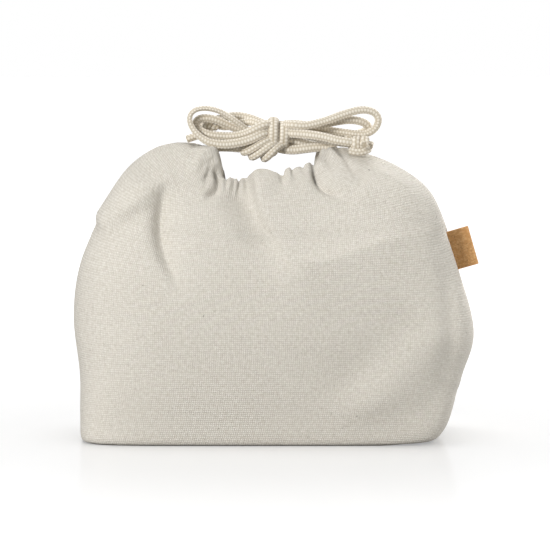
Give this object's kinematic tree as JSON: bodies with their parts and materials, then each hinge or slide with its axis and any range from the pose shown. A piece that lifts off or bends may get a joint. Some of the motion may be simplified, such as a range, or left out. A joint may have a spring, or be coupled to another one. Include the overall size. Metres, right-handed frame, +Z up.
{
  "type": "bento bag",
  "caption": "Standing canvas lunch bag with a flat base, a gathered mouth closed by tied drawstring cords, and a small folded side label.",
  "frame": {"origin": "the middle of the base panel's underside, on the surface that the bag stands on", "axes": "+X along the bag's length towards the label, +Y from the front to the back, +Z up"},
  "size_m": [0.227, 0.1253, 0.1862],
  "materials": {
    "canvas": "matt heathered plain weave",
    "cord": "matt round braid",
    "cork": "matt speckled cork cloth"
  },
  "bodies": {
    "bag": {"front_panel": "canvas", "back_panel": "canvas", "base_panel": "canvas", "front_casing": "canvas", "back_casing": "canvas", "left_cord_run": "cord", "right_cord_run": "cord", "label_root": "cork"},
    "label": {"label_tab": "cork"},
    "bow": {"bow_knot": "cord", "left_strand_front": "cord", "left_strand_back": "cord", "right_strand_lower": "cord", "right_strand_upper": "cord"},
    "left_loops": {"left_loop_outer": "cord", "left_loop_inner": "cord"},
    "right_loops": {"right_loop_outer": "cord", "right_loop_inner": "cord"},
    "left_tails": {"left_tail_lower": "cord", "left_tail_upper": "cord", "left_end_knot": "cord"},
    "right_tails": {"right_tail_front": "cord", "right_tail_back": "cord", "right_end_knot": "cord"}
  },
  "joints": [
    {"name": "label_flex", "type": "hinge", "parent": "bag", "child": "label", "pos_m": [0.10299, 0, 0.10436], "axis": [-0.2762, 0, 0.9611], "range_deg": [-70, 70], "stiffness_Nm_per_rad": 0.0001},
    {"name": "bow_tilt", "type": "hinge", "parent": "bag", "child": "bow", "pos_m": [0, 0, 0.162], "axis": [-1, 0, 0], "range_deg": [0, 35]},
    {"name": "left_loop_swing", "type": "hinge", "parent": "bow", "child": "left_loops", "pos_m": [0.004, 0, 0.162], "axis": [0, 0, 1], "range_deg": [0, 35]},
    {"name": "right_loop_swing", "type": "hinge", "parent": "bow", "child": "right_loops", "pos_m": [0.004, 0, 0.162], "axis": [0, 0, 1], "range_deg": [0, 35]},
    {"name": "left_tail_swing", "type": "hinge", "parent": "bow", "child": "left_tails", "pos_m": [0.004, 0, 0.162], "axis": [0, 0, -1], "range_deg": [0, 25]},
    {"name": "right_tail_swing", "type": "hinge", "parent": "bow", "child": "right_tails", "pos_m": [0.004, 0, 0.162], "axis": [0, 0, -1], "range_deg": [0, 25]}
  ]
}
